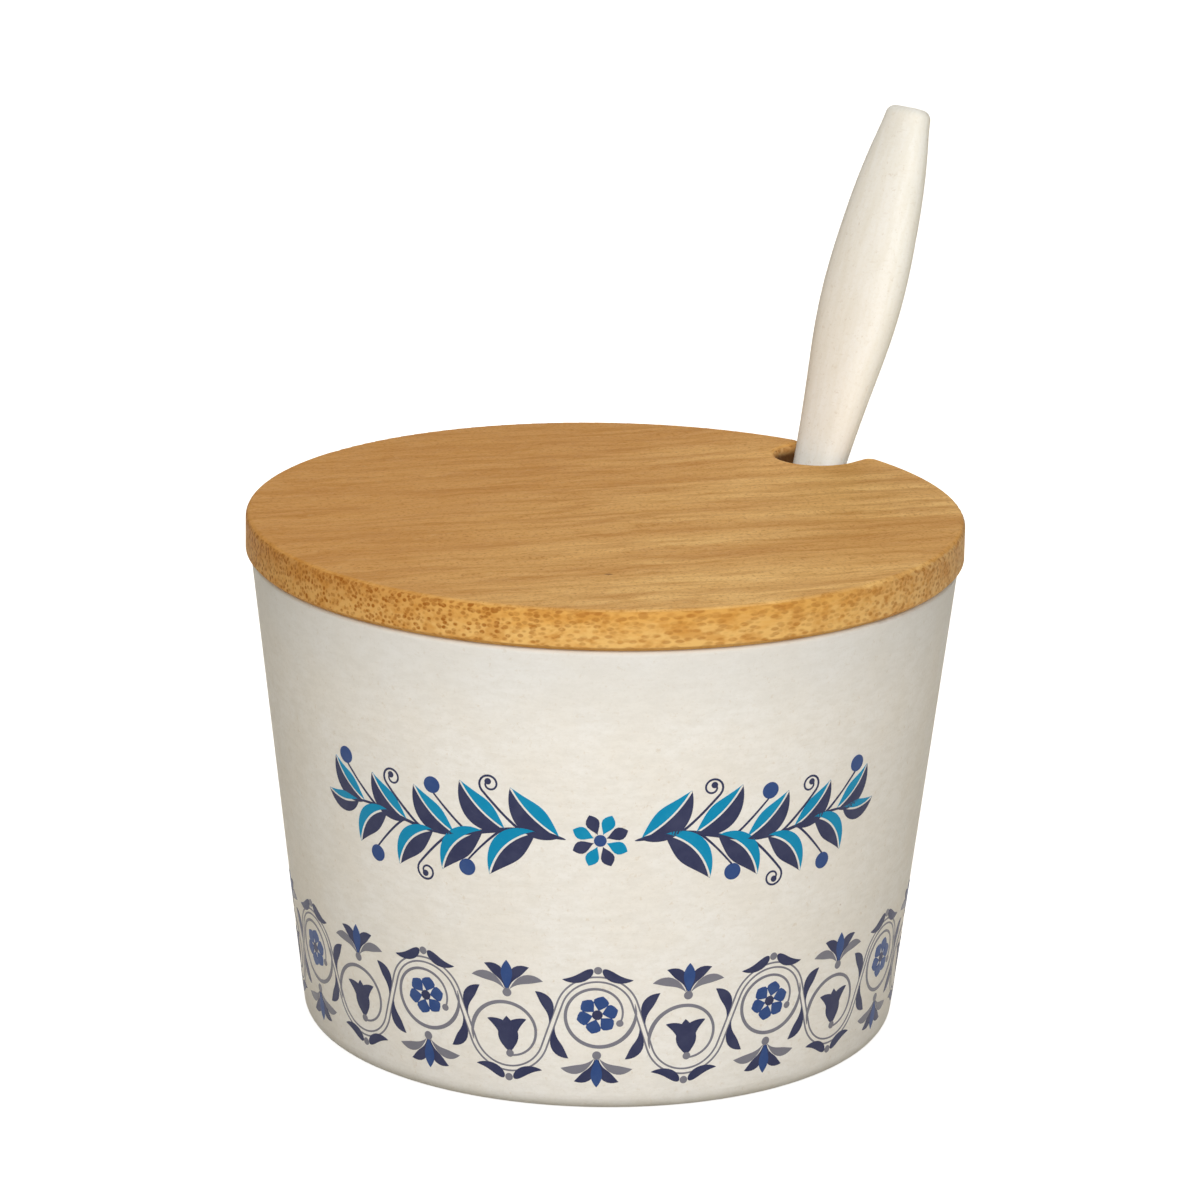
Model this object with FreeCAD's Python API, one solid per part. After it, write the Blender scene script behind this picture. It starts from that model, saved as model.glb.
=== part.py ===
"""A round honey dish with a loose bamboo lid and a small spoon.

The dish is one moulding of bamboo fibre in resin: a plain cone with a rounded foot, a shallow
recess under its base and a rounded rim.  The lid is one piece of bamboo board: a disc that lies
on the rim, a plug under it that drops into the mouth, and a U-shaped notch through both.  The
spoon is a second moulding: an egg-shaped scoop, a slim neck and an oval handle that swells and
tapers.  It stands on the floor of the dish, leans out through the notch and rests on the rim.

Frame: millimetres, +Z up, origin at the centre of the foot, on the plane that it stands on.
The decorated front of the dish faces -Y.
"""

import FreeCAD, Part
import math
import os

from FreeCAD import Matrix, Vector

# Dish
dish_height = 67.8
rim_radius = 49.3
base_radius = 41.45
wall_thickness = 2.4
floor_thickness = 3.2
foot_round = 2.8
inner_round = 9.0
rim_round = 0.85
foot_ring_width = 7.6
recess_depth = 0.9
recess_slope = 0.8

# Lid
lid_overhang = 0.7
lid_thickness = 5.6
lid_upper_round = 0.8
lid_lower_bevel = 0.5
plug_depth = 3.0
plug_gap = 0.7
plug_bevel = 0.6

# Notch in the edge of the lid
notch_azimuth = 47.5
notch_side_gap = 1.8
notch_back_gap = 1.6
notch_mouth_round = 1.6

# Spoon
spoon_length = 127.5
spoon_lean = 20.0
handle_width = 13.3
handle_depth = 7.5
handle_taper_length = 26.6
handle_end_width = 6.9
handle_end_depth = 4.6
handle_end_round = 1.4
neck_width = 6.5
neck_depth = 4.4
root_width = 10.0
root_depth = 3.6
root_overlap = 5.0
scoop_length = 34.0
scoop_width = 23.0
scoop_depth = 6.8
scoop_front_length = 17.5
scoop_wall = 1.7
scoop_mouth_slope = 1.2
scoop_edge_round = 0.5
scoop_tilt = 8.0

# Gaps where the spoon stands on the floor and rests on the rim
spoon_floor_gap = 0.3
spoon_rim_gap = 0.3

# Shape of the handle: how squared its oval is, and how many points draw it
oval_power = 2.4
oval_points = 12

cut_overrun = 2.0
same_place = 0.001

# Places along the neck, from the scoop to the swell, and how far its section has grown there
neck_place_shares = (0.0, 0.25, 0.41, 0.50, 0.59, 0.69, 0.79, 0.89, 1.0)
neck_growth_shares = (0.0, 0.02, 0.06, 0.13, 0.24, 0.42, 0.66, 0.90, 1.0)

# Places from the swell to the end, and how far the section has drawn in there
taper_place_shares = (0.30, 0.56, 0.82, 1.0)
taper_fall_shares = (0.13, 0.36, 0.75, 1.0)


def limited(radius, room):
    """A rounding's radius, kept under half of the wall that it is made in."""
    return min(radius, room / 2 - same_place)


def corner(before, point, after, radius):
    """The start, middle and end of the arc that rounds one corner of a profile."""
    back = (before - point).normalize()
    ahead = (after - point).normalize()
    half_angle = back.getAngle(ahead) / 2
    reach = radius / math.tan(half_angle)
    bisector = (back + ahead).normalize()
    middle = point + bisector * (radius / math.sin(half_angle) - radius)
    return point + back * reach, middle, point + ahead * reach


def turned(corners):
    """A solid of revolution about Z from (radius, height, rounding) corners, in order."""
    points = [Vector(r, 0, z) for r, z, rounding in corners]
    after = points[1:] + points[:1]
    stations = []
    for i, (r, z, rounding) in enumerate(corners):
        if rounding > 0:
            stations.append(corner(points[i - 1], points[i], after[i], rounding))
        else:
            stations.append((points[i],))
    edges = []
    for station, following in zip(stations, stations[1:] + stations[:1]):
        if len(station) > 1:
            edges.append(Part.Arc(*station).toShape())
        edges.append(Part.makeLine(station[-1], following[0]))
    return Part.Face(Part.Wire(edges)).revolve(Vector(), Vector(0, 0, 1), 360)


def mouth_radius(height):
    """Radius of the dish's inner wall at a height."""
    flare = (rim_radius - base_radius) / dish_height
    return base_radius + flare * height - wall_thickness


def make_dish():
    """The moulded dish: recessed base, foot ring, cone, rounded rim, inner wall and floor."""
    ring_inner = base_radius - foot_ring_width
    rim = limited(rim_round, wall_thickness)
    return turned([
        (0, recess_depth, 0),
        (ring_inner - recess_slope, recess_depth, 0),
        (ring_inner, 0, 0),
        (base_radius, 0, foot_round),
        (rim_radius, dish_height, rim),
        (mouth_radius(dish_height), dish_height, rim),
        (mouth_radius(floor_thickness), floor_thickness, inner_round),
        (0, floor_thickness, 0),
    ])


def part_way(start, end, share):
    """The value a share of the way from start to end."""
    return start + (end - start) * share


def handle_sections():
    """(place along the spoon, half width, half depth) from the neck to the handle's end."""
    swell = spoon_length - handle_taper_length
    sections = []
    for place, growth in zip(neck_place_shares, neck_growth_shares):
        sections.append((
            part_way(scoop_length, swell, place),
            part_way(neck_width, handle_width, growth) / 2,
            part_way(neck_depth, handle_depth, growth) / 2,
        ))
    for place, fall in zip(taper_place_shares, taper_fall_shares):
        sections.append((
            part_way(swell, spoon_length, place),
            part_way(handle_width, handle_end_width, fall) / 2,
            part_way(handle_depth, handle_end_depth, fall) / 2,
        ))
    return sections


def half_section_at(place):
    """Half the width and half the depth of the handle at a place along the spoon."""
    sections = handle_sections()
    for low, high in zip(sections, sections[1:]):
        if place <= high[0]:
            share = (place - low[0]) / (high[0] - low[0])
            return part_way(low[1], high[1], share), part_way(low[2], high[2], share)
    return sections[-1][1:]


def oval(half_width, half_depth, shift, place):
    """A closed, slightly squared oval across the spoon, drawn by the superellipse formula."""
    points = []
    for i in range(oval_points):
        angle = 2 * math.pi * i / oval_points
        across = math.copysign(abs(math.cos(angle)) ** (2 / oval_power), math.cos(angle))
        deep = math.copysign(abs(math.sin(angle)) ** (2 / oval_power), math.sin(angle))
        points.append(Vector(half_width * across, shift + half_depth * deep, place))
    curve = Part.BSplineCurve()
    steps = list(range(oval_points + 1))
    curve.interpolate(Points=points, Parameters=steps, PeriodicFlag=True)
    return Part.Wire(curve.toShape())


def make_handle():
    """The neck and handle as one smooth loft, from inside the scoop's back to a rounded end."""
    root = oval(root_width / 2, root_depth / 2, root_depth / 2, scoop_length - root_overlap)
    wires = [root]
    wires += [oval(width, depth, 0, place) for place, width, depth in handle_sections()]
    handle = Part.makeLoft(wires, True)
    rounding = limited(handle_end_round, handle_end_depth ** 2 / handle_end_width)
    return handle.makeFillet(rounding, edges_between(handle, "Z", spoon_length, spoon_length))


def edges_between(shape, axis, low, high):
    """The edges of a shape whose whole length lies between two places along an axis."""
    chosen = []
    for edge in shape.Edges:
        start = getattr(edge.BoundBox, axis + "Min")
        end = getattr(edge.BoundBox, axis + "Max")
        if start > low - same_place and end < high + same_place:
            chosen.append(edge)
    return chosen


def egg(wall, rise, sweep, turn):
    """An egg lying along Z, thinner by a wall, its axis above the scoop's rim by a rise.

    It is two halves of a unit ball, each stretched to its own reach, and is swept by an angle
    about Z from a turn.
    """
    reaches = (scoop_front_length, scoop_length - scoop_front_length)
    halves = []
    for reach, low, high in zip(reaches, (-90, 0), (0, 90)):
        half = Part.makeSphere(1, Vector(), Vector(0, 0, 1), low, high, sweep)
        half.rotate(Vector(), Vector(0, 0, 1), turn)
        stretch = Matrix()
        stretch.scale(scoop_width / 2 - wall, scoop_depth - wall + rise, reach - wall)
        halves.append(half.transformGeometry(stretch))
    whole = halves[0].fuse(halves[1]).removeSplitter()
    whole.translate(Vector(0, -rise, scoop_front_length))
    return whole


def make_spoon():
    """The whole spoon along +Z from its tip, with the back of the scoop towards +Y."""
    hollow = egg(scoop_wall, scoop_mouth_slope, 360, -90)
    scoop = egg(0, 0, 180, 0).cut(hollow)
    rim = edges_between(scoop, "Y", 0, 0)
    scoop = scoop.makeFillet(limited(scoop_edge_round, scoop_wall), rim)
    for shape in (scoop, hollow):
        shape.rotate(Vector(0, 0, scoop_length), Vector(1, 0, 0), -scoop_tilt)
    return scoop.fuse(make_handle().cut(hollow)).removeSplitter()


def foot_place(lowest):
    """(how far out, how high) the tip of the leaning spoon's axis stands.

    The spoon's lowest point clears the floor, and its handle clears the rounded rim.
    """
    angle = math.radians(spoon_lean)
    height = floor_thickness + spoon_floor_gap - lowest
    rim = limited(rim_round, wall_thickness)
    rim_centre = Vector(mouth_radius(dish_height) + rim, 0, dish_height - rim)
    half_depth = neck_depth / 2
    for _ in range(4):
        off = rim + spoon_rim_gap + half_depth
        place = (rim_centre.z - height + off * math.sin(angle)) / math.cos(angle)
        half_depth = half_section_at(place)[1]
    return rim_centre.x - place * math.sin(angle) - off * math.cos(angle), height


def lean(spoon):
    """Leans the spoon towards +X in its place in the dish, and gives the foot of its axis."""
    spoon.rotate(Vector(), Vector(0, 0, 1), -90)
    spoon.rotate(Vector(), Vector(0, 1, 0), spoon_lean)
    reach, height = foot_place(spoon.optimalBoundingBox(False).ZMin)
    spoon.translate(Vector(reach, 0, height))
    return Vector(reach, 0, height)


def make_slot(foot):
    """The U-shaped prism of the notch, which clears the handle where it crosses the lid."""
    angle = math.radians(spoon_lean)
    top = dish_height + lid_thickness
    bottom = dish_height - plug_depth
    half = half_section_at((top - foot.z) / math.cos(angle))[0] + notch_side_gap
    place = (bottom - foot.z) / math.cos(angle)
    inner_side = half_section_at(place)[1] / math.cos(angle)
    back = foot.x + place * math.sin(angle) - inner_side - notch_back_gap
    low = bottom - cut_overrun
    height = top - bottom + cut_overrun * 2
    round_end = Part.makeCylinder(half, height, Vector(back + half, 0, low))
    length = rim_radius + lid_overhang + cut_overrun - back - half
    straight = Part.makeBox(length, half * 2, height, Vector(back + half, -half, low))
    return round_end.fuse(straight).removeSplitter()


def notched_disc(radius, bottom, top, slot):
    """A disc between two heights, with the notch cut in and its two mouth corners rounded."""
    disc = Part.makeCylinder(radius, top - bottom, Vector(0, 0, bottom)).cut(slot)
    mouth = []
    for edge in disc.Edges:
        middle = edge.valueAt((edge.FirstParameter + edge.LastParameter) / 2)
        upright = edge.BoundBox.ZLength > top - bottom - same_place
        if upright and abs(math.hypot(middle.x, middle.y) - radius) < same_place:
            mouth.append(edge)
    return disc.makeFillet(notch_mouth_round, mouth)


def make_lid(slot):
    """The bamboo disc on the rim and the plug that drops into the mouth, notched together."""
    top = dish_height + lid_thickness
    disc = notched_disc(rim_radius + lid_overhang, dish_height, top, slot)
    disc = disc.makeFillet(lid_upper_round, edges_between(disc, "Z", top, top))
    disc = disc.makeChamfer(lid_lower_bevel, edges_between(disc, "Z", dish_height, dish_height))
    bottom = dish_height - plug_depth
    plug_radius = mouth_radius(bottom) - plug_gap
    plug = notched_disc(plug_radius, bottom, dish_height + lid_lower_bevel, slot)
    plug = plug.makeChamfer(plug_bevel, edges_between(plug, "Z", bottom, bottom))
    return disc.fuse(plug).removeSplitter()


dish = make_dish()
spoon = make_spoon()
foot = lean(spoon)
lid = make_lid(make_slot(foot))

os.makedirs("parts", exist_ok=True)
for name, shape in (("dish", dish), ("lid", lid), ("spoon", spoon)):
    shape.rotate(Vector(), Vector(0, 0, 1), notch_azimuth)
    shape.exportStep(os.path.join("parts", name + ".step"))
    box = shape.optimalBoundingBox(False)
    print(f"{name}: {shape.Volume:.0f} mm3, {box.XLength:.1f} x {box.YLength:.1f} x {box.ZLength:.1f} mm")
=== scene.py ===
"""A honey dish of moulded bamboo fibre, with its bamboo lid, its spoon and its printed ornament.

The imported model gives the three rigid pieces.  This script dresses them in their finishes, prints a
leafy garland and a running scroll on the wall of the dish, and sets up the studio and the camera.
Sizes are in millimetres unless a name says otherwise, and meshes are made in metres.
"""

import logging
import math
from collections.abc import Callable, Iterable
from dataclasses import dataclass, field
from enum import Enum

import bpy
from mathutils import Matrix, Vector


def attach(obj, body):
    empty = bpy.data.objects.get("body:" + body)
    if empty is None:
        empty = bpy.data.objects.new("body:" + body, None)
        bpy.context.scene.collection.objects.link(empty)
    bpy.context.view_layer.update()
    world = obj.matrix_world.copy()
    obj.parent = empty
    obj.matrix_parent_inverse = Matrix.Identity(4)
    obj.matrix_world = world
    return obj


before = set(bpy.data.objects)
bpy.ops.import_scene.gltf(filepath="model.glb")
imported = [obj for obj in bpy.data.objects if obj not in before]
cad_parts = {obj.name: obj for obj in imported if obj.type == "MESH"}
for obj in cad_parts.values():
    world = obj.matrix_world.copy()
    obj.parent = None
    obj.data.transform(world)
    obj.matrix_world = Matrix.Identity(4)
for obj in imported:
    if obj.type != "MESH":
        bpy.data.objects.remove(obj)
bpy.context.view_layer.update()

LOG = logging.getLogger("honey_dish")
MM = 0.001

Point = tuple[float, float]
Triple = tuple[float, float, float]
Colour = tuple[float, float, float]
Move = Callable[[Point], Point]
Socket = bpy.types.NodeSocket
Value = float | Socket


def linear(colour: Colour) -> tuple[float, float, float, float]:
    """A display colour as the scene's linear colour.

    Args:
        colour: Red, green and blue from 0 to 255, as they look on a screen.

    Returns:
        Linear red, green and blue, with an alpha of one.
    """
    shares = [part / 255 for part in colour]
    curved = [s / 12.92 if s <= 0.04045 else ((s + 0.055) / 1.055) ** 2.4 for s in shares]
    return (*curved, 1.0)


def even(size: float) -> Triple:
    """The pitch of a texture whose blobs are one size in every direction."""
    return (1 / size, 1 / size, 1 / size)


@dataclass(frozen=True)
class Ramp:
    """A smooth step, from `start` where a value is at `low` to `end` where it is at `high`."""

    low: float
    high: float
    start: float = 0.0
    end: float = 1.0


@dataclass(frozen=True)
class Noise:
    """A field of soft noise, and what is made of it.

    The field has `pitch` blobs to a millimetre in each direction, with finer layers of noise on
    them.  A share, such as that of a colour, grows from `least` where the field is at `low` to
    `most` where it is at `high`.
    """

    pitch: Triple
    low: float = 0.0
    high: float = 1.0
    most: float = 1.0
    least: float = 0.0
    detail: float = 2.0
    rough: float = 0.6

    @property
    def ramp(self) -> Ramp:
        """The step that turns the field into a share."""
        return Ramp(self.low, self.high, self.least, self.most)


class Recipe:
    """A tree of shader nodes, with a short call for each kind of node that the finishes share."""

    def __init__(self, owner: bpy.types.Material | bpy.types.World) -> None:
        """Empties the tree that it works on.

        Args:
            owner: The material or the world that has the tree.
        """
        owner.use_nodes = True
        self.owner = owner
        self.tree = owner.node_tree
        self.tree.nodes.clear()

    def feed(self, socket: Socket, value: object) -> None:
        """Gives a socket its value.

        Args:
            socket: The socket.
            value: Another node's output, which is linked to it, or its own number or colour.
        """
        if isinstance(value, bpy.types.NodeSocket):
            self.tree.links.new(value, socket)
        else:
            socket.default_value = value

    def node(self, kind: str, *values: object, **settings: object) -> bpy.types.Node:
        """Adds a node.

        Args:
            kind: The name of its kind.
            values: What its first inputs are fed, in order.
            settings: Its settings by name.

        Returns:
            The node.
        """
        made = self.tree.nodes.new(kind)
        for name, setting in settings.items():
            setattr(made, name, setting)
        for socket, value in zip(made.inputs, values):
            self.feed(socket, value)
        return made

    def calc(self, operation: str, first: Value, second: Value = 0.0) -> Socket:
        """One sum on one or two numbers, each of them a number or a node's output."""
        return self.node("ShaderNodeMath", first, second, operation=operation).outputs[0]

    def grade(self, value: Value, ramp: Ramp) -> Socket:
        """What a ramp makes of a value.

        Args:
            value: A number or a node's output.
            ramp: The ramp.

        Returns:
            The output that holds the result.
        """
        steps = (ramp.low, ramp.high, ramp.start, ramp.end)
        made = self.node("ShaderNodeMapRange", value, *steps, interpolation_type="SMOOTHSTEP")
        return made.outputs[0]

    def place(self, turn: float = 0.0) -> Socket:
        """The point on the object in millimetres, in a frame turned about Z.

        Args:
            turn: How far the frame is turned, in degrees.

        Returns:
            The output that holds the point.
        """
        made = self.node("ShaderNodeMapping", self.node("ShaderNodeTexCoord").outputs["Object"])
        made.inputs["Rotation"].default_value = (0.0, 0.0, math.radians(turn))
        made.inputs["Scale"].default_value = (1 / MM, 1 / MM, 1 / MM)
        return made.outputs[0]

    def stretch(self, point: Socket, shares: Triple) -> Socket:
        """A point with each of its three distances multiplied by its own share."""
        return self.node("ShaderNodeVectorMath", point, shares, operation="MULTIPLY").outputs[0]

    def shift(self, point: Socket, by: Triple) -> Socket:
        """A point moved by three distances."""
        return self.node("ShaderNodeVectorMath", point, by, operation="ADD").outputs[0]

    def length(self, point: Socket) -> Socket:
        """How far a point lies from the origin of its frame."""
        return self.node("ShaderNodeVectorMath", point, operation="LENGTH").outputs["Value"]

    def parts(self, point: Socket) -> tuple[Socket, Socket, Socket]:
        """The three distances of a point, one output each."""
        return tuple(self.node("ShaderNodeSeparateXYZ", point).outputs)

    def joined(self, x: Value, y: Value, z: Value) -> Socket:
        """A point from its three distances."""
        return self.node("ShaderNodeCombineXYZ", x, y, z).outputs[0]

    def upright(self) -> Socket:
        """How far the surface faces straight up or down, from zero on a wall to one on a flat."""
        surface = self.node("ShaderNodeNewGeometry")
        return self.calc("ABSOLUTE", self.parts(surface.outputs["Normal"])[2])

    def noise(self, point: Socket, look: Noise) -> Socket:
        """Soft noise from zero to one.

        Args:
            point: Where it is read.
            look: The field that it is read from.

        Returns:
            The output that holds the noise.
        """
        made = self.node("ShaderNodeTexNoise", self.stretch(point, look.pitch))
        for name, value in (("Scale", 1.0), ("Detail", look.detail), ("Roughness", look.rough)):
            self.feed(made.inputs[name], value)
        return made.outputs[0]

    def cells(self, point: Socket, pitch: Triple, random: float) -> tuple[Socket, Socket]:
        """Scattered cells.

        Args:
            point: Where they are read.
            pitch: How many cells there are to a millimetre in each direction.
            random: How far the cells leave an even grid.

        Returns:
            The distance from the nearest cell's middle, and that cell's own colour.
        """
        made = self.node("ShaderNodeTexVoronoi", self.stretch(point, pitch))
        for name, value in (("Scale", 1.0), ("Randomness", random)):
            self.feed(made.inputs[name], value)
        return made.outputs["Distance"], made.outputs["Color"]

    def blend(self, share: Value, low: object, high: object) -> Socket:
        """A colour between two others.

        Args:
            share: How far it lies from the first towards the second, from zero to one.
            low: The first colour, which is linear.
            high: The second, which is linear too.

        Returns:
            The output that holds the colour.
        """
        made = self.node("ShaderNodeMix", share, data_type="RGBA")
        for index, colour in ((6, low), (7, high)):
            self.feed(made.inputs[index], colour)
        return made.outputs[2]

    def lay(self, colour: object, over: Colour, value: Value, ramp: Ramp) -> Socket:
        """Lays a display colour over a linear one, with the share that a ramp makes of a value."""
        return self.blend(self.grade(value, ramp), colour, linear(over))

    def cover(self, colour: object, over: Colour, point: Socket, look: Noise) -> Socket:
        """Lays a display colour over a linear one, where a field of noise is strong."""
        return self.lay(colour, over, self.noise(point, look), look.ramp)

    def seen(self) -> Socket:
        """Tells the rays that show things from the rays that light them.

        Returns:
            An output that is one for a ray from the camera, a mirror or glass, and zero for others.
        """
        path = self.node("ShaderNodeLightPath").outputs
        shone = self.calc("MAXIMUM", path["Is Glossy Ray"], path["Is Transmission Ray"])
        return self.calc("MAXIMUM", path["Is Camera Ray"], shone)

    def finish(
        self, colour: Socket, rough: Value, relief: Socket, depth: float, gloss: float,
    ) -> bpy.types.Material:
        """Ends the tree with its shader.

        Args:
            colour: The surface's colour.
            rough: Its roughness.
            relief: The height of its fine relief, from zero to one.
            depth: How deep that relief is.
            gloss: How strong its mirror shine is, where 0.5 is plain.

        Returns:
            The finished material.
        """
        bump = self.node("ShaderNodeBump")
        for name, value in (("Strength", 1.0), ("Distance", depth * MM), ("Height", relief)):
            self.feed(bump.inputs[name], value)
        shader = self.node("ShaderNodeBsdfPrincipled")
        for name, value in (
                ("Base Color", colour), ("Roughness", rough), ("Normal", bump.outputs[0]),
                ("Specular IOR Level", gloss)):
            self.feed(shader.inputs[name], value)
        self.node("ShaderNodeOutputMaterial", shader.outputs[0])
        return self.owner


@dataclass(frozen=True)
class FibreFinish:
    """Bamboo fibre in pale resin: satin cream, with soft mottling, tan flecks and fine fibres.

    The clouds follow a piece that leans by `lean` in X and Y to each millimetre of height.  Where
    the piece has a rim, at `rim_height`, painted shade from the lid's overhang is laid below it.
    """

    name: str = "bamboo_fibre_satin"
    cream: Colour = (242, 240, 237)
    shade: Colour = (226, 222, 215)
    warm: Colour = (236, 230, 220)
    fleck: Colour = (208, 192, 168)
    # The colour of the painted shade under the lid.
    lid_shade: Colour = (212, 214, 216)
    speck: Colour = (150, 104, 72)
    mottle: Noise = Noise(even(9.0), 0.34, 0.68, 0.45, detail=3)
    clouds: Noise = Noise((1 / 2.6, 1 / 2.6, 1.0), 0.34, 0.70, 0.42, detail=3, rough=0.65)
    grain: Noise = Noise(even(0.5), 0.42, 0.80, 0.34)
    flecks: Noise = Noise(even(0.9), 0.60, 0.74, 0.34, detail=3, rough=0.7)
    strands: Noise = Noise((1 / 3.0, 1 / 0.375, 1 / 0.375), 0.68, 0.78, detail=1, rough=0.4)
    strand_turns: tuple[float, ...] = (18.0, 76.0, 139.0)
    strand_share: float = 0.13
    strand_relief: float = 0.5
    lean: Point = (0.0, 0.0)
    speck_spacing: float = 6.0
    speck_dot: Ramp = Ramp(0.025, 0.055, 1.0, 0.0)
    speck_rare: Ramp = Ramp(0.90, 0.97, 0.0, 0.6)
    rim_height: float = 0.0
    # Painted shade under the lid, and a painted shadow line at the rim's top.
    rim_shade: Ramp = Ramp(0.0, 16.0, 0.38, 0.0)
    rim_shadow_line: Ramp = Ramp(0.3, 0.9, 0.5, 0.0)
    roughness: Ramp = Ramp(0.2, 0.8, 0.50, 0.62)
    gloss: float = 0.06
    relief: float = 0.012

    def material(self) -> bpy.types.Material:
        """Builds the material.

        Returns:
            The finished material, which reads nothing but the place on the piece.
        """
        make = Recipe(bpy.data.materials.new(self.name))
        point = make.place()
        x, y, z = make.parts(point)
        leant = [
            make.calc("SUBTRACT", side, make.calc("MULTIPLY", z, lean))
            for side, lean in zip((x, y), self.lean)]
        grain, strands = make.noise(point, self.grain), self.fibres(make)
        colour = make.cover(linear(self.cream), self.warm, point, self.mottle)
        colour = make.cover(colour, self.shade, make.joined(*leant, z), self.clouds)
        colour = make.lay(colour, self.shade, grain, self.grain.ramp)
        colour = make.cover(colour, self.fleck, point, self.flecks)
        fibres = make.calc("MULTIPLY", strands, self.strand_share)
        colour = make.blend(fibres, colour, linear(self.fleck))
        colour = make.blend(self.specks(make, point), colour, linear(self.speck))
        # Painted shade under the lid: the wall darkens softly below the rim, with a darker painted
        # shadow line at its top.
        if self.rim_height:
            below = make.calc("SUBTRACT", self.rim_height, z)
            colour = make.lay(colour, self.lid_shade, below, self.rim_shade)
            colour = make.lay(colour, self.fleck, below, self.rim_shadow_line)
        rough = make.grade(grain, self.roughness)
        relief = make.calc("ADD", grain, make.calc("MULTIPLY", strands, self.strand_relief))
        return make.finish(colour, rough, relief, self.relief, self.gloss)

    def specks(self, make: Recipe, point: Socket) -> Socket:
        """The rare dark specks.

        Args:
            make: The material's tree.
            point: The place on the piece.

        Returns:
            An output with the specks' share of the colour.
        """
        distance, tint = make.cells(point, even(self.speck_spacing), random=1.0)
        rare = make.grade(make.parts(tint)[1], self.speck_rare)
        return make.calc("MULTIPLY", make.grade(distance, self.speck_dot), rare)

    def fibres(self, make: Recipe) -> Socket:
        """Short fibres that lie in several directions.

        Args:
            make: The material's tree.

        Returns:
            An output that is one on a fibre and zero beside it.
        """
        found: Value = 0.0
        for turn in self.strand_turns:
            strand = make.grade(make.noise(make.place(turn), self.strands), self.strands.ramp)
            found = make.calc("MAXIMUM", found, strand)
        return found


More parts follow.
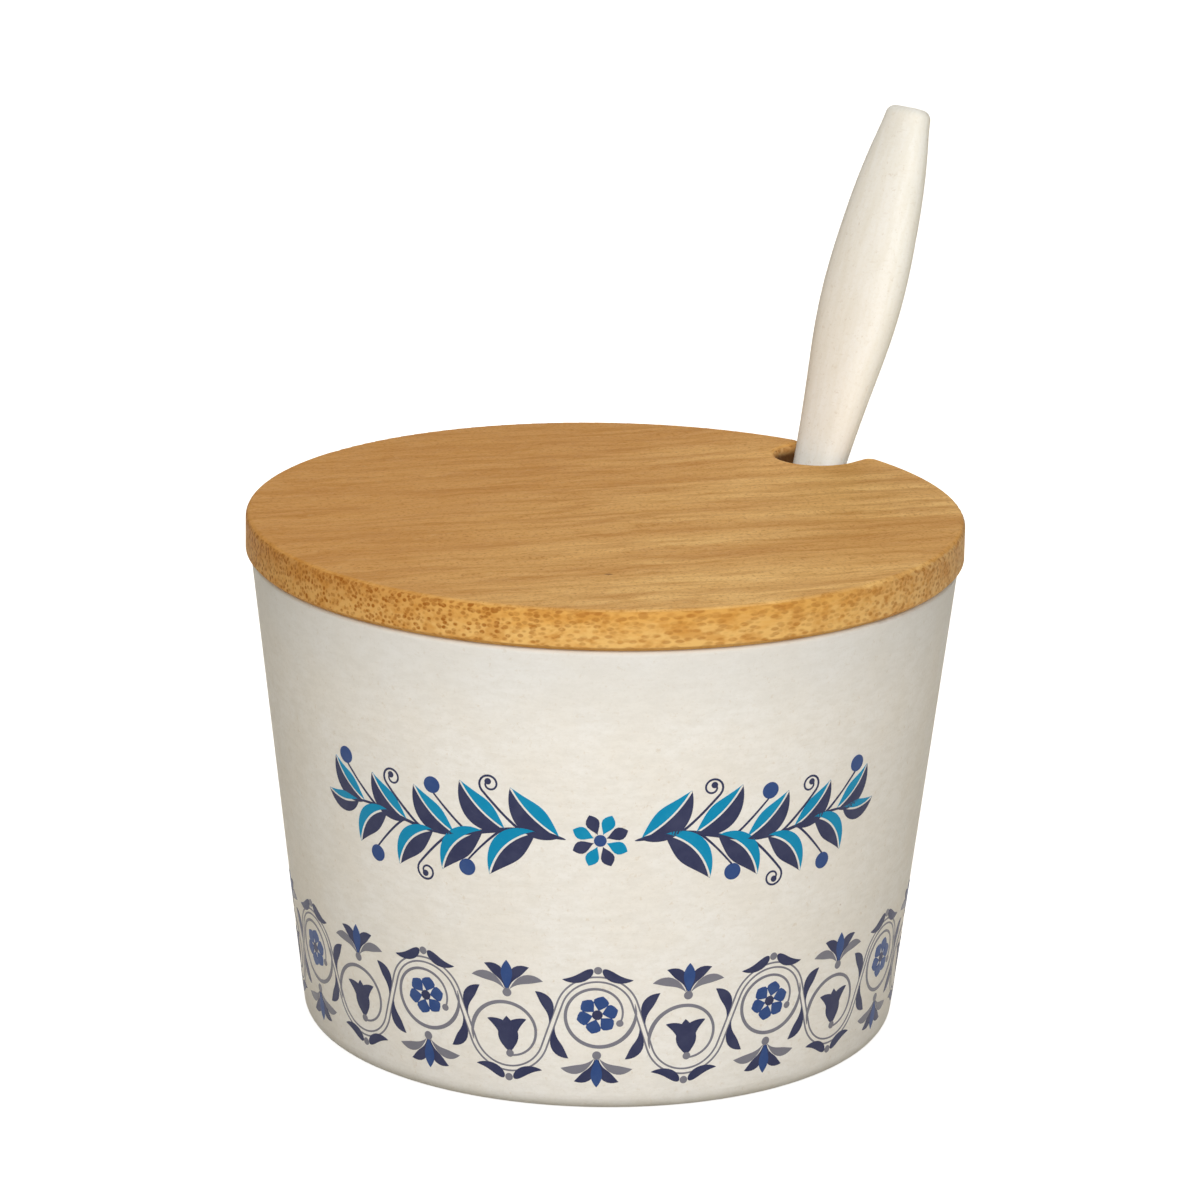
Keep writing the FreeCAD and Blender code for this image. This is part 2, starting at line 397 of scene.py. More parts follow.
@dataclass(frozen=True)
class BambooFinish:
    """Oiled bamboo board: fine wavy grain on the face, and the ends of its fibres on the edge.

    X runs along the grain, which turns by `grain_turn` degrees from the object's own X.  The noise
    that bends the grain bends it by `most` at its strongest.
    """

    name: str = "bamboo_board_oiled"
    grain_turn: float = 17.0
    pale: Colour = (223, 165, 90)
    # The lighter colour of the painted light gradient across the face.
    light: Colour = (252, 204, 127)
    warm: Colour = (216, 156, 80)
    deep: Colour = (192, 126, 46)
    line: Colour = (178, 112, 34)
    gold: Colour = (224, 170, 90)
    brown: Colour = (207, 152, 84)
    straw: Colour = (234, 193, 122)
    dry: Colour = (226, 186, 128)
    bundle: Colour = (158, 94, 30)
    # The brown of the painted shadow at the edge's foot and the painted shade in the notch.
    shadow_brown: Colour = (84, 50, 20)
    knot: Colour = (96, 58, 28)
    bends: tuple[Noise, ...] = (
        Noise((0.045, 0.12, 0.3), most=5.0, rough=0.5),
        Noise((0.22, 0.40, 0.5), most=1.3, rough=0.5))
    # The slope and span of the face's painted light gradient.
    painted_light_slope: float = 0.8
    painted_light_side: Ramp = Ramp(-34.0, 34.0)
    bands: Noise = Noise((0.014, 0.14, 0.14), 0.34, 0.66, 0.75, rough=0.5)
    streaks: Noise = Noise((0.05, 0.40, 0.40), 0.40, 0.72, 0.44)
    patches: Noise = Noise((0.13, 0.80, 0.80), 0.42, 0.70, 0.32, detail=3)
    lines: Noise = Noise((0.16, 1.1, 1.1), 0.50, 0.74, 0.24)
    dashes: Noise = Noise((0.8, 2.0, 2.0), 0.54, 0.76, 0.30)
    glints: Ramp = Ramp(0.26, 0.42, 0.20, 0.0)
    pores: Noise = Noise((1.9, 2.6, 2.6), 0.48, 0.74, 0.52)
    knot_place: Triple = (0.5, -32.5, 73.4)
    knot_pitch: Triple = (0.8, 1.6, 0.2)
    knot_dot: Ramp = Ramp(0.25, 0.6, 0.75, 0.0)
    top_height: float = 73.4
    bottom_height: float = 67.8
    outer_radius: float = 49.4
    flat: Ramp = Ramp(0.60, 0.80)
    ragged: Noise = Noise((0.3, 0.6, 0.6), 0.2, 0.8, most=1.2, least=-1.2, detail=3)
    gold_side: Ramp = Ramp(-48.0, -24.0)
    straw_depth: Ramp = Ramp(0.7, 4.2, 0.0, 0.7)
    straw_side: Ramp = Ramp(0.0, 1.0, 0.6, 1.0)
    dry_side: Ramp = Ramp(14.0, 40.0, 0.0, 0.85)
    edge_streaks: Noise = Noise((0.12, 1.5, 1.5), 0.44, 0.70, 0.50, detail=3)
    edge_patches: Noise = Noise((0.30, 0.42, 0.42), 0.44, 0.64, 0.48, detail=3)
    bundle_pitch: Triple = (1 / 1.5, 1 / 0.56, 1 / 0.60)
    bundle_random: float = 0.85
    bundle_reach: Ramp = Ramp(0.4, 2.8, 0.53, 0.43)
    bundle_rim: Ramp = Ramp(-0.14, 0.14)
    bundle_tint: Ramp = Ramp(0.0, 1.0, 0.60, 1.0)
    bundle_speckle: Noise = Noise((0.6, 1.6, 1.6), 0.30, 0.58, least=0.40)
    bundle_end: Ramp = Ramp(2.0, 42.0, 1.0, 0.62)
    bundle_side: Ramp = Ramp(33.0, 48.0, 1.0, 0.52)
    foot_shadow_line: Ramp = Ramp(0.1, 0.7, 0.55, 0.0)
    # Where the painted shade in the notch lies.
    notch_depth: Ramp = Ramp(0.5, 1.7, 0.0, 0.95)
    notch_wall: Ramp = Ramp(0.0, 0.3)
    roughness: Ramp = Ramp(0.3, 0.7, 0.50, 0.62)
    gloss: float = 0.04
    relief: float = 0.03
    relief_share: float = 0.5

    def material(self) -> bpy.types.Material:
        """Builds the material.

        Returns:
            The finished material, whose grain runs through the whole board in one direction.
        """
        make = Recipe(bpy.data.materials.new(self.name))
        point = make.place(-self.grain_turn)
        along, across, height = make.parts(point)
        for bend in self.bends:
            across = make.calc(
                "ADD", across, make.calc("MULTIPLY", make.noise(point, bend), bend.most))
        wavy = make.joined(along, across, height)
        colour, grain = self.face(make, wavy)
        edge, bundles = self.edge(make, wavy)
        colour = make.blend(make.grade(make.upright(), self.flat), edge, colour)
        relief = make.calc("MULTIPLY", make.calc("SUBTRACT", grain, bundles), self.relief_share)
        rough = make.grade(grain, self.roughness)
        return make.finish(colour, rough, relief, self.relief, self.gloss)

    def face(self, make: Recipe, point: Socket) -> tuple[Socket, Socket]:
        """The board's broad face.

        Args:
            make: The material's tree.
            point: The place on the piece, with X along the wavy grain.

        Returns:
            The face's colour, and the height of its grain.
        """
        along, across, _ = make.parts(point)
        # Painted light: the face is laid lighter towards its right and front, where the light falls
        # more strongly.
        side = make.calc("SUBTRACT", along, make.calc("MULTIPLY", across, self.painted_light_slope))
        lines, dashes = make.noise(point, self.lines), make.noise(point, self.dashes)
        colour = make.lay(linear(self.pale), self.light, side, self.painted_light_side)
        colour = make.cover(colour, self.warm, point, self.bands)
        colour = make.cover(colour, self.deep, point, self.streaks)
        colour = make.cover(colour, self.deep, point, self.patches)
        colour = make.lay(colour, self.deep, lines, self.lines.ramp)
        colour = make.lay(colour, self.line, dashes, self.dashes.ramp)
        colour = make.lay(colour, self.straw, dashes, self.glints)
        colour = make.cover(colour, self.line, point, self.pores)
        off = make.shift(make.place(), tuple(-part for part in self.knot_place))
        away = make.length(make.stretch(off, self.knot_pitch))
        colour = make.lay(colour, self.knot, away, self.knot_dot)
        return colour, make.calc("MULTIPLY", make.calc("ADD", lines, dashes), 0.5)

    def edge(self, make: Recipe, point: Socket) -> tuple[Socket, Socket]:
        """The board's edge, where the fibre bundles are severed across or run along.

        Args:
            make: The material's tree.
            point: The place on the piece, with X along the wavy grain.

        Returns:
            The edge's colour, and an output that is one inside a bundle.
        """
        along, _, height = make.parts(point)
        depth = make.calc("SUBTRACT", self.top_height, height)
        ragged = make.grade(make.noise(point, self.ragged), self.ragged.ramp)
        depth = make.calc("ADD", depth, ragged)
        side = make.grade(along, self.gold_side)
        straw = make.calc(
            "MULTIPLY", make.grade(depth, self.straw_depth), make.grade(side, self.straw_side))
        colour = make.blend(side, linear(self.brown), linear(self.gold))
        colour = make.blend(straw, colour, linear(self.straw))
        colour = make.lay(colour, self.dry, along, self.dry_side)
        colour = make.cover(colour, self.warm, point, self.edge_streaks)
        colour = make.cover(colour, self.deep, point, self.edge_patches)
        bundles = self.bundles(make, point, depth)
        colour = make.blend(bundles, colour, linear(self.bundle))
        # The painted shadow at the edge's foot and the painted shade in the notch are laid last.
        return make.blend(self.dark(make, height), colour, linear(self.shadow_brown)), bundles

    def bundles(self, make: Recipe, point: Socket, depth: Socket) -> Socket:
        """The severed ends of the fibre bundles.

        Args:
            make: The material's tree.
            point: The place on the piece, with X along the wavy grain.
            depth: How far the place lies below the face, which is where the bundles are densest.

        Returns:
            An output that is up to one inside a bundle, and zero beside it.
        """
        along, across, _ = make.parts(point)
        distance, tint = make.cells(
            make.place(-self.grain_turn), self.bundle_pitch, self.bundle_random)
        reach = make.calc("SUBTRACT", make.grade(depth, self.bundle_reach), distance)
        found = make.grade(reach, self.bundle_rim)
        speckle = self.bundle_speckle
        for strength in (
                make.grade(make.parts(tint)[0], self.bundle_tint),
                make.grade(make.noise(point, speckle), speckle.ramp),
                make.grade(along, self.bundle_end),
                make.grade(make.calc("ABSOLUTE", across), self.bundle_side)):
            found = make.calc("MULTIPLY", found, strength)
        return found

    def dark(self, make: Recipe, height: Socket) -> Socket:
        """The painted shadow line at the edge's foot, and the painted shade inside the notch.

        Args:
            make: The material's tree.
            height: The height of the place.

        Returns:
            An output with the share of the dark colour.
        """
        # Painted shadow: a dark line along the foot of the edge, where the board meets the dish.
        foot = make.grade(make.calc("SUBTRACT", height, self.bottom_height), self.foot_shadow_line)
        # Painted shade on the notch's walls, deepening below the face.
        sunk = make.grade(make.calc("SUBTRACT", self.top_height, height), self.notch_depth)
        radius = make.length(make.stretch(make.place(), (1.0, 1.0, 0.0)))
        inside = make.grade(make.calc("SUBTRACT", self.outer_radius, radius), self.notch_wall)
        return make.calc("MAXIMUM", foot, make.calc("MULTIPLY", inside, sunk))


class Ink(Enum):
    """The four inks of the ornament, each with its colour."""

    NAVY = (50, 54, 86)
    ROYAL = (48, 74, 130)
    CYAN = (10, 138, 184)
    GREY = (122, 122, 134)


@dataclass(frozen=True)
class InkFinish:
    """A flat ink printed into the fibre, which is worn a little paler by wash and grain."""

    ink: Ink
    wash: Noise = Noise(even(3.0), 0.35, 0.75, 0.55, detail=3)
    grain: Noise = Noise(even(0.5), 0.58, 0.82, 0.5)
    bare: float = 235.0
    worn: float = 0.10
    roughness: Ramp = Ramp(0.2, 0.8, 0.40, 0.52)
    gloss: float = 0.12
    relief: float = 0.006

    def material(self) -> bpy.types.Material:
        """Builds the material.

        Returns:
            The finished material.
        """
        make = Recipe(bpy.data.materials.new("ink_" + self.ink.name.lower()))
        point = make.place()
        paler = tuple(part + (self.bare - part) * self.worn for part in self.ink.value)
        grain = make.noise(point, self.grain)
        colour = make.cover(linear(self.ink.value), paler, point, self.wash)
        colour = make.lay(colour, paler, grain, self.grain.ramp)
        return make.finish(
            colour, make.grade(grain, self.roughness), grain, self.relief, self.gloss)


@dataclass(frozen=True)
class Stroke:
    """One brush stroke in the flat: a spine, and how far the ink reaches to its right and left.

    Each reach is measured square to the spine, to the left where it is above zero.
    """

    spine: list[Point]
    right: list[float]
    left: list[float]

    @classmethod
    def both(cls, spine: list[Point], halves: list[float]) -> "Stroke":
        """A stroke that reaches as far to the right of its spine as to the left."""
        return cls(spine, [-half for half in halves], halves)

    def placed(self, move: Move) -> "Stroke":
        """The stroke with its spine and edges carried through a flat move.

        Args:
            move: A turn, shift or mirror of the flat.

        Returns:
            The moved stroke, with its sides changed over where the move mirrors it.
        """
        origin, x_end, y_end = move((0.0, 0.0)), move((1.0, 0.0)), move((0.0, 1.0))
        ux, uy = x_end[0] - origin[0], x_end[1] - origin[1]
        vx, vy = y_end[0] - origin[0], y_end[1] - origin[1]
        spine = [move(point) for point in self.spine]
        if ux * vy - uy * vx < 0:
            right, left = [[-reach for reach in side] for side in (self.left, self.right)]
            return Stroke(spine, right, left)
        return Stroke(spine, self.right, self.left)


def frame_move(origin: Point, turn: float = 0.0, mirror: bool = False) -> Move:
    """A move that carries a motif drawn at the origin to its place.

    Args:
        origin: Where the motif's own origin goes.
        turn: How far the motif turns, in degrees, anticlockwise.
        mirror: Whether it is mirrored left to right before it turns.

    Returns:
        A function from a motif's point to its place.
    """
    cos, sin = math.cos(math.radians(turn)), math.sin(math.radians(turn))

    def move(point: Point) -> Point:
        """Carries one point."""
        x, y = (-point[0] if mirror else point[0]), point[1]
        return origin[0] + x * cos - y * sin, origin[1] + x * sin + y * cos

    return move


@dataclass(frozen=True)
class LeafShape:
    """A leaf's length, its width, how far its spine bows to the left, and where it is fattest.

    The last is a share of its length, and a low one gives a round head.
    """

    length: float
    width: float
    bow: float = 0.0
    fat: float = 0.5


@dataclass(frozen=True)
class Brush:
    """Draws the strokes that the motifs are made from."""

    step: float = 0.3
    path_steps: int = 6
    leaf_steps: int = 8
    dot_steps: int = 10
    thinnest: float = 0.025
    swell_power: float = 0.6
    round_power: float = 0.75
    sharp_power: float = 0.9
    round_limit: float = 0.45

    def path(self, curve: Callable[[float], Point], length: float) -> list[Point]:
        """Points about a step apart on a curve, which gives a point for each share of its way."""
        count = max(self.path_steps, round(length / self.step))
        return [curve(i / count) for i in range(count + 1)]

    def line(self, spine: list[Point], width: float, offset: float = 0.0) -> Stroke:
        """A line of even width along a spine, set off to its left by an offset."""
        count = len(spine)
        return Stroke(spine, [offset - width / 2] * count, [offset + width / 2] * count)

    def tapered(self, spine: list[Point], start: float, end: float, rise: float = 0.0) -> Stroke:
        """A line whose width runs from start to end.

        Args:
            spine: Its middle.
            start: Its width at the start.
            end: Its width at the end.
            rise: The share of its way over which it swells from a point to its full width.

        Returns:
            The stroke.
        """
        last = len(spine) - 1
        halves = []
        for i in range(last + 1):
            width = start + (end - start) * i / last
            swell = min(1.0, i / last / rise) ** self.swell_power if rise else 1.0
            halves.append(max(self.thinnest, width / 2 * swell))
        return Stroke.both(spine, halves)

    def leaf(self, shape: LeafShape, side: int = 1, size: float = 1.0) -> Stroke:
        """A leaf or comma along X, pointed at its far end.

        Args:
            shape: Its shape.
            side: One for a leaf that bows as its shape says, and minus one for its mirror.
            size: How long and wide it is, as a share of the shape.

        Returns:
            The stroke.
        """
        length, width = shape.length * size, shape.width * size
        power = math.log(0.5) / math.log(shape.fat)
        sharpness = self.round_power if shape.fat < self.round_limit else self.sharp_power
        count = max(self.leaf_steps, round(length / self.step))
        spine, halves = [], []
        for i in range(count + 1):
            t = (1 - math.cos(math.pi * i / count)) / 2
            spine.append((length * t, 4 * shape.bow * side * t * (1 - t)))
            swell = max(0.0, math.sin(math.pi * t ** power))
            halves.append(max(self.thinnest, width / 2 * swell ** sharpness))
        return Stroke.both(spine, halves)

    def halves(self, whole: Stroke, gap: float, share: float) -> tuple[Stroke, Stroke]:
        """A leaf split along its length into two inks.

        Args:
            whole: The leaf.
            gap: The bare line between the two.
            share: Where the line lies, from zero at the right edge to one at the left.

        Returns:
            The right part and the left part.
        """
        thin, right, left = self.thinnest, whole.right, whole.left
        lines = [near + (far - near) * share for near, far in zip(right, left)]
        low = [max(near + thin, line - gap / 2) for near, line in zip(right, lines)]
        high = [min(far - thin, line + gap / 2) for far, line in zip(left, lines)]
        return Stroke(whole.spine, right, low), Stroke(whole.spine, high, left)

    def dot(self, middle: Point, radius: float) -> Stroke:
        """A round dot.

        Args:
            middle: Its middle.
            radius: Its radius.

        Returns:
            The stroke.
        """
        count = max(self.dot_steps, round(math.pi * radius / self.step))
        angles = [math.pi * i / count for i in range(count + 1)]
        spine = [(middle[0] - radius * math.cos(angle), middle[1]) for angle in angles]
        return Stroke.both(spine, [max(self.thinnest, radius * math.sin(a)) for a in angles])

    def coil(
        self, middle: Point, start: float, end: float, angle: float, sweep: float,
    ) -> list[Point]:
        """A spiral's spine.

        Args:
            middle: The middle of the spiral.
            start: Its radius where it starts.
            end: Its radius where it ends.
            angle: The direction of its start from the middle, in degrees.
            sweep: How far it turns, in degrees, anticlockwise above zero.

        Returns:
            The points of the spine.
        """
        def curve(t: float) -> Point:
            """The point at a share of the way."""
            radius, way = start + (end - start) * t, math.radians(angle + sweep * t)
            return middle[0] + radius * math.cos(way), middle[1] + radius * math.sin(way)

        return self.path(curve, math.radians(abs(sweep)) * (start + end) / 2)


@dataclass(frozen=True)
class ConeWall:
    """The wall of the dish, as the cone that the ornament is laid on."""

    base_radius: float = 41.45
    rim_radius: float = 49.3
    height: float = 67.8
    proud: float = 0.02
    layer: float = 0.004
    sunk: float = 0.06
    widest: float = 0.7

    def point(self, around: float, height: float, proud: float) -> Vector:
        """A point on the wall.

        Args:
            around: The direction from the front, in radians, towards +X.
            height: The height above the foot.
            proud: How far the point stands out of the wall.

        Returns:
            The point in metres.
        """
        flare = (self.rim_radius - self.base_radius) / self.height
        slope = math.hypot(1, flare)
        radius = self.base_radius + flare * height + proud / slope
        level = height - proud * flare / slope
        return Vector((radius * math.sin(around), -radius * math.cos(around), level)) * MM

    def ribbon(
        self, stroke: Stroke, layer: int, reference: float,
    ) -> tuple[list[Vector], list[tuple[int, ...]]]:
        """A stroke as a thin closed skin on the wall.

        Args:
            stroke: The stroke in the flat, with X along the wall and Y its height.
            layer: How many layers of ink lie under it.
            reference: The wall's radius at which the flat drawing is true to size.

        Returns:
            The corners and the faces of the skin.
        """
        reach = max(left - right for right, left in zip(stroke.right, stroke.left))
        across = max(1, math.ceil(reach / self.widest))
        columns = across + 1
        last = len(stroke.spine) - 1
        corners: list[Vector] = []
        for i, (x, y) in enumerate(stroke.spine):
            before, after = stroke.spine[max(i - 1, 0)], stroke.spine[min(i + 1, last)]
            dx, dy = after[0] - before[0], after[1] - before[1]
            length = math.hypot(dx, dy)
            for level in (self.proud + self.layer * layer, -self.sunk):
                for j in range(columns):
                    off = stroke.right[i] + (stroke.left[i] - stroke.right[i]) * j / across
                    flat_x, flat_y = x - dy / length * off, y + dx / length * off
                    corners.append(self.point(flat_x / reference, flat_y, level))
        faces: list[tuple[int, ...]] = []
        size = columns * 2
        for here in range(0, last * size, size):
            there = here + size
            for j in range(across):
                faces.append((here + j, there + j, there + j + 1, here + j + 1))
                low = columns + j
                faces.append((here + low, here + low + 1, there + low + 1, there + low))
            faces.append((here, here + columns, there + columns, there))
            outer, under = across, columns + across
            faces.append((here + outer, there + outer, there + under, here + under))
        for start, flip in ((0, False), (last * size, True)):
            for j in range(start, start + across):
                cap = (j, j + 1, j + columns + 1, j + columns)
                faces.append(tuple(reversed(cap)) if flip else cap)
        return corners, faces

    def printed(
        self, name: str, strokes: Iterable[tuple[Stroke, int]], reference: float,
    ) -> bpy.types.Object:
        """Lays strokes of one ink on the wall as one piece.

        Args:
            name: The piece's name.
            strokes: Each stroke with its layer.
            reference: The wall's radius at which the flat drawing is true to size.

        Returns:
            The piece.
        """
        corners: list[Vector] = []
        faces: list[tuple[int, ...]] = []
        for stroke, layer in strokes:
            more, skins = self.ribbon(stroke, layer, reference)
            faces += [tuple(index + len(corners) for index in face) for face in skins]
            corners += more
        mesh = bpy.data.meshes.new(name)
        mesh.from_pydata(corners, [], faces)
        mesh.validate()
        piece = bpy.data.objects.new(name, mesh)
        bpy.context.scene.collection.objects.link(piece)
        return piece


@dataclass
class Ornament:
    """A printed design: its strokes by ink, and the wall that they are laid on."""

    wall: ConeWall
    brush: Brush = field(default_factory=Brush)
    strokes: dict[Ink, list[tuple[Stroke, int]]] = field(default_factory=dict)

    def add(self, ink: Ink, stroke: Stroke, layer: int, *moves: Move) -> None:
        """Adds one stroke.

        Args:
            ink: Its ink.
            stroke: The stroke, drawn at the origin or in place.
            layer: Its layer, where a higher one lies on a lower one.
            moves: What carries it to its place, one after the other, if it was drawn at the origin.
        """
        for move in moves:
            stroke = stroke.placed(move)
        self.strokes.setdefault(ink, []).append((stroke, layer))

    def dot(self, ink: Ink, middle: Point, radius: float, layer: int, *moves: Move) -> None:
        """Adds a round dot, as a stroke is added."""
        self.add(ink, self.brush.dot(middle, radius), layer, *moves)

    def lay(
        self, name: str, reference: float, finishes: dict[Ink, bpy.types.Material],
    ) -> list[bpy.types.Object]:
        """Makes one piece of each ink and lets it ride on the dish.

        Args:
            name: What the design is called.
            reference: The wall's radius at which the drawing is true to size.
            finishes: The material of each ink.

        Returns:
            The pieces.
        """
        pieces = []
        for ink, strokes in self.strokes.items():
            piece = self.wall.printed(f"{name}_{ink.name.lower()}", strokes, reference)
            piece.data.materials.append(finishes[ink])
            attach(piece, "dish")
            pieces.append(piece)
        return pieces


@dataclass
class ScrollBorder:
    """The running scroll near the foot: a waving double stem, with a flower coiled in each bend."""

    repeats: int = 11
    reference: float = 43.1
    middle_height: float = 12.9
    ring: float = 5.3
    stagger: float = 1.75
    stem_gap: float = 0.72
    line_width: float = 0.25
    branch_start: float = 0.62
    branch_end: float = 0.26
    branch_rise: float = 0.12
    coil_end: float = 3.3
    coil_dot: float = 0.5
    upper_sweep: float = 400.0
    lower_sweep: float = 284.0
    petals: int = 6
    petal: LeafShape = LeafShape(2.25, 2.15, fat=0.60)
    petal_foot: float = 0.62
    petal_turn: float = 15.0
    eye_radius: float = 0.72
    bud_middle: LeafShape = LeafShape(5.2, 2.9, fat=0.46)
    bud_side: LeafShape = LeafShape(5.5, 2.2, -1.25, 0.42)
    bud_spread: float = 30.0
    bud_inward: float = 0.82
    bud_foot: Point = (-0.35, 0.0)
    bud_foot_radius: float = 0.55
    fan_middle: LeafShape = LeafShape(4.7, 1.6, fat=0.60)
    fan_sides: tuple[tuple[Ink, float, LeafShape], ...] = (
        (Ink.NAVY, 38.0, LeafShape(4.6, 1.5, -0.9, 0.62)),
        (Ink.GREY, 70.0, LeafShape(5.0, 1.3, -0.9, 0.62)))
    fan_foot: float = 0.25
    fan_gap: float = 0.85
    fan_dot: Point = (-0.1, 0.0)
    fan_dot_radius: float = 0.62
    crest_leaf: LeafShape = LeafShape(4.3, 1.35, -0.62, 0.34)
    crest_foot: Point = (0.72, 1.0)
    crest_turn: float = 112.0
    crest_dot: float = 0.85
    crest_dot_radius: float = 0.55
    comma: LeafShape = LeafShape(5.1, 1.55, 0.95, 0.62)
    comma_foot: Point = (-0.42, -0.1)
    comma_turn: float = 21.0
    wall: ConeWall = field(default_factory=ConeWall)

    def __post_init__(self) -> None:
        """Works out the bends from the repeats."""
        spacing = math.pi * self.reference / self.repeats
        apart = math.hypot(spacing, 2 * self.stagger)
        self.spacing = spacing
        self.bend = math.atan2(2 * self.stagger, spacing) + math.asin(2 * self.ring / apart)
        self.reach = self.ring * self.bend + math.sqrt(apart ** 2 - 4 * self.ring ** 2) / 2
        self.design = Ornament(self.wall)
        self.brush = self.design.brush

    def stem(self, way: float) -> Point:
        """The main stem's point at a distance along it from a crest, about the bend's middle.

        Args:
            way: The distance along the stem, below zero on the left.

        Returns:
            The point.
        """
        turn = min(abs(way) / self.ring, self.bend)
        beyond = max(0.0, abs(way) - self.ring * self.bend)
        x = self.ring * math.sin(turn) + beyond * math.cos(turn)
        y = self.ring * math.cos(turn) - beyond * math.sin(turn)
        return math.copysign(x, way), y

    def rosette(self, move: Move) -> None:
        """Round petals about a navy eye.

        Args:
            move: What carries the rosette to its place, its middle at the origin.
        """
        petal = self.brush.leaf(self.petal).placed(frame_move((self.petal_foot, 0.0)))
        for i in range(self.petals):
            turn = frame_move((0.0, 0.0), 360.0 / self.petals * i + self.petal_turn)
            self.design.add(Ink.ROYAL, petal, 3 + i % 2, turn, move)
        self.design.dot(Ink.NAVY, (0.0, 0.0), self.eye_radius, 5, move)

    def bud(self, *moves: Move) -> None:
        """A tulip bud of three petals.

        Args:
            moves: What carries the bud to its place, its foot at the origin and its tips along X.
        """
        self.design.add(Ink.NAVY, self.brush.leaf(self.bud_middle), 3, *moves)
        for sign, layer in ((-1, 4), (1, 5)):
            spread = frame_move((0.0, 0.0), self.bud_spread * sign)
            petal = self.brush.leaf(self.bud_side, sign)
            self.design.add(Ink.NAVY, petal, layer, spread, *moves)
        self.design.dot(Ink.GREY, self.bud_foot, self.bud_foot_radius, 6, *moves)

    def fan(self, *moves: Move) -> None:
        """A fan of five leaves.

        Args:
            moves: What carries the fan to its place, its root at the origin and its tip along X.
        """
        self.design.add(Ink.ROYAL, self.brush.leaf(self.fan_middle), 4, *moves)
        for sign in (-1, 1):
            for ink, turn, shape in self.fan_sides:
                spread = frame_move((self.fan_foot, self.fan_foot * sign), turn * sign)
                self.design.add(ink, self.brush.leaf(shape, sign), 3, spread, *moves)
        self.design.dot(Ink.GREY, self.fan_dot, self.fan_dot_radius, 5, *moves)

    def crest(self, move: Move) -> None:
        """Two comma leaves and a dot that sit on the outside of a bend.

        Args:
            move: What carries the bend to its place, its middle at the origin.
        """
        top = self.ring + self.stem_gap / 2 + self.line_width / 2
        self.design.dot(Ink.GREY, (0.0, top + self.crest_dot), self.crest_dot_radius, 4, move)
        for sign in (-1, 1):
            foot = self.crest_foot[0] * sign, top + self.crest_foot[1]
            turn = frame_move(foot, 90.0 - sign * self.crest_turn)
            self.design.add(Ink.NAVY, self.brush.leaf(self.crest_leaf, sign), 3, turn, move)

    def commas(self, move: Move) -> None:
        """The two comma leaves that hang from the stem on either side of the fan.

        Args:
            move: What carries the bend to its place, its middle at the origin.
        """
        x, y = self.stem(self.reach)
        for sign in (-1, 1):
            foot = (x + self.comma_foot[0]) * sign, y + self.comma_foot[1]
            turn = frame_move(foot, -90.0 - self.comma_turn * sign)
            self.design.add(Ink.NAVY, self.brush.leaf(self.comma, sign), 2, turn, move)

    def bend_part(self, up: bool, move: Move) -> None:
        """One bend of the stem, with all that grows from it.

        Args:
            up: Whether it is an upper bend, which holds a rosette, or a lower one, with a bud.
            move: What carries the bend to its place, its middle at the origin.
        """
        design, brush = self.design, self.brush
        stem = brush.path(lambda t: self.stem(self.reach * (2 * t - 1)), self.reach * 2)
        for side in (-1, 1):
            line = brush.line(stem, self.line_width, side * self.stem_gap / 2)
            design.add(Ink.GREY, line, 0, move)
        leave = 90.0 - math.degrees(self.bend)
        sweep = self.upper_sweep if up else self.lower_sweep
        coil = brush.coil((0.0, 0.0), self.ring, self.coil_end, leave, -sweep)
        branch = brush.tapered(coil, self.branch_start, self.branch_end, self.branch_rise)
        design.add(Ink.GREY, branch, 1, move)
        x, y = coil[-1]
        if up:
            self.rosette(move)
            design.dot(Ink.GREY, (x, y), self.coil_dot, 2, move)
        else:
            foot = x * self.bud_inward, y * self.bud_inward
            self.bud(frame_move(foot, leave - sweep + 180.0), move)
        self.commas(move)
        self.fan(frame_move((0.0, -self.ring - self.fan_gap), -90.0), move)
        self.crest(move)

    def build(self, finishes: dict[Ink, bpy.types.Material]) -> list[bpy.types.Object]:
        """Draws the border round the whole wall.

        Args:
            finishes: The material of each ink.

        Returns:
            The pieces.
        """
        for i in range(self.repeats * 2):
            up = i % 2 == 0
            height = self.middle_height + (self.stagger if up else -self.stagger)
            self.bend_part(up, frame_move((self.spacing * i, height), 0.0 if up else 180.0))
        return self.design.lay("border", self.reference, finishes)


